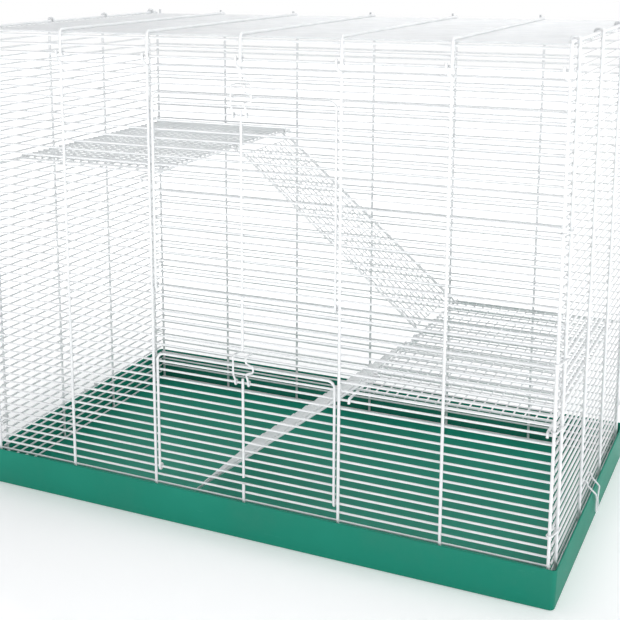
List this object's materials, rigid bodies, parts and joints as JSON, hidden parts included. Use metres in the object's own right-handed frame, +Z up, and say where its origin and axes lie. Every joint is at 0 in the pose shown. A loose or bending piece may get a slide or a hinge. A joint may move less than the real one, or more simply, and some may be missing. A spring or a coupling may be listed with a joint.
{
  "type": "small animal cage",
  "caption": "Small animal cage: a white wire cage standing in a shallow green plastic tray, with doors in front and mesh platforms and ramps inside.",
  "frame": {"origin": "centre of the tray's underside, on the surface the cage stands on", "axes": "+X to the right along the front with the doors, +Y to the back, +Z up"},
  "size_m": [0.7894, 0.4676, 0.6396],
  "materials": {
    "tray_plastic": "satin moulded plastic",
    "white_wire": "glossy white powder coat"
  },
  "bodies": {
    "tray": {"tray_base": "tray_plastic"},
    "wire_top": {"front_grille_left": "white_wire", "front_grille_right": "white_wire", "front_grille_bottom": "white_wire", "front_grille_middle": "white_wire", "front_grille_top": "white_wire", "back_panel": "white_wire", "left_panel": "white_wire", "right_panel": "white_wire", "roof_panel": "white_wire", "roof_front_edge": "white_wire", "corner_clips": "white_wire", "lower_platform": "white_wire", "lower_platform_hooks": "white_wire"},
    "upper_door": {"upper_door": "white_wire"},
    "lower_door": {"lower_door": "white_wire"},
    "upper_latch": {"upper_door_latch": "white_wire"},
    "lower_latch": {"lower_door_latch": "white_wire"},
    "upper_platform": {"upper_platform": "white_wire", "upper_platform_hooks": "white_wire"},
    "upper_ramp": {"upper_ramp": "white_wire"},
    "lower_ramp": {"lower_ramp": "white_wire"},
    "left_clip": {"left_tray_clip": "white_wire"},
    "right_clip": {"right_tray_clip": "white_wire"}
  },
  "joints": [
    {"name": "wire_top_lift", "type": "slide", "parent": "tray", "child": "wire_top", "axis": [0, 0, 1], "range_m": [0, 0.06]},
    {"name": "upper_door_swing", "type": "hinge", "parent": "wire_top", "child": "upper_door", "pos_m": [0, -0.2235, 0.3152], "axis": [1, 0, 0], "range_deg": [0, 115]},
    {"name": "lower_door_swing", "type": "hinge", "parent": "wire_top", "child": "lower_door", "pos_m": [0, -0.2235, 0.071], "axis": [1, 0, 0], "range_deg": [0, 105]},
    {"name": "upper_latch_turn", "type": "hinge", "parent": "upper_door", "child": "upper_latch", "pos_m": [0, -0.2235, 0.5372], "axis": [1, 0, 0], "range_deg": [0, 75]},
    {"name": "lower_latch_turn", "type": "hinge", "parent": "lower_door", "child": "lower_latch", "pos_m": [0, -0.2235, 0.2042], "axis": [1, 0, 0], "range_deg": [0, 75]},
    {"name": "upper_platform_lift", "type": "slide", "parent": "wire_top", "child": "upper_platform", "axis": [0, 0, 1], "range_m": [0, 0.0035]},
    {"name": "upper_ramp_turn", "type": "hinge", "parent": "upper_platform", "child": "upper_ramp", "pos_m": [-0.14, 0, 0.45202], "axis": [0, -1, 0], "range_deg": [0, 45]},
    {"name": "lower_ramp_turn", "type": "hinge", "parent": "wire_top", "child": "lower_ramp", "pos_m": [0.14, 0, 0.20782], "axis": [0, 1, 0], "range_deg": [0, 50]},
    {"name": "left_clip_turn", "type": "hinge", "parent": "wire_top", "child": "left_clip", "pos_m": [-0.38, 0, 0.0599], "axis": [0, 1, 0], "range_deg": [0, 100]},
    {"name": "right_clip_turn", "type": "hinge", "parent": "wire_top", "child": "right_clip", "pos_m": [0.38, 0, 0.0599], "axis": [0, -1, 0], "range_deg": [0, 100]}
  ]
}
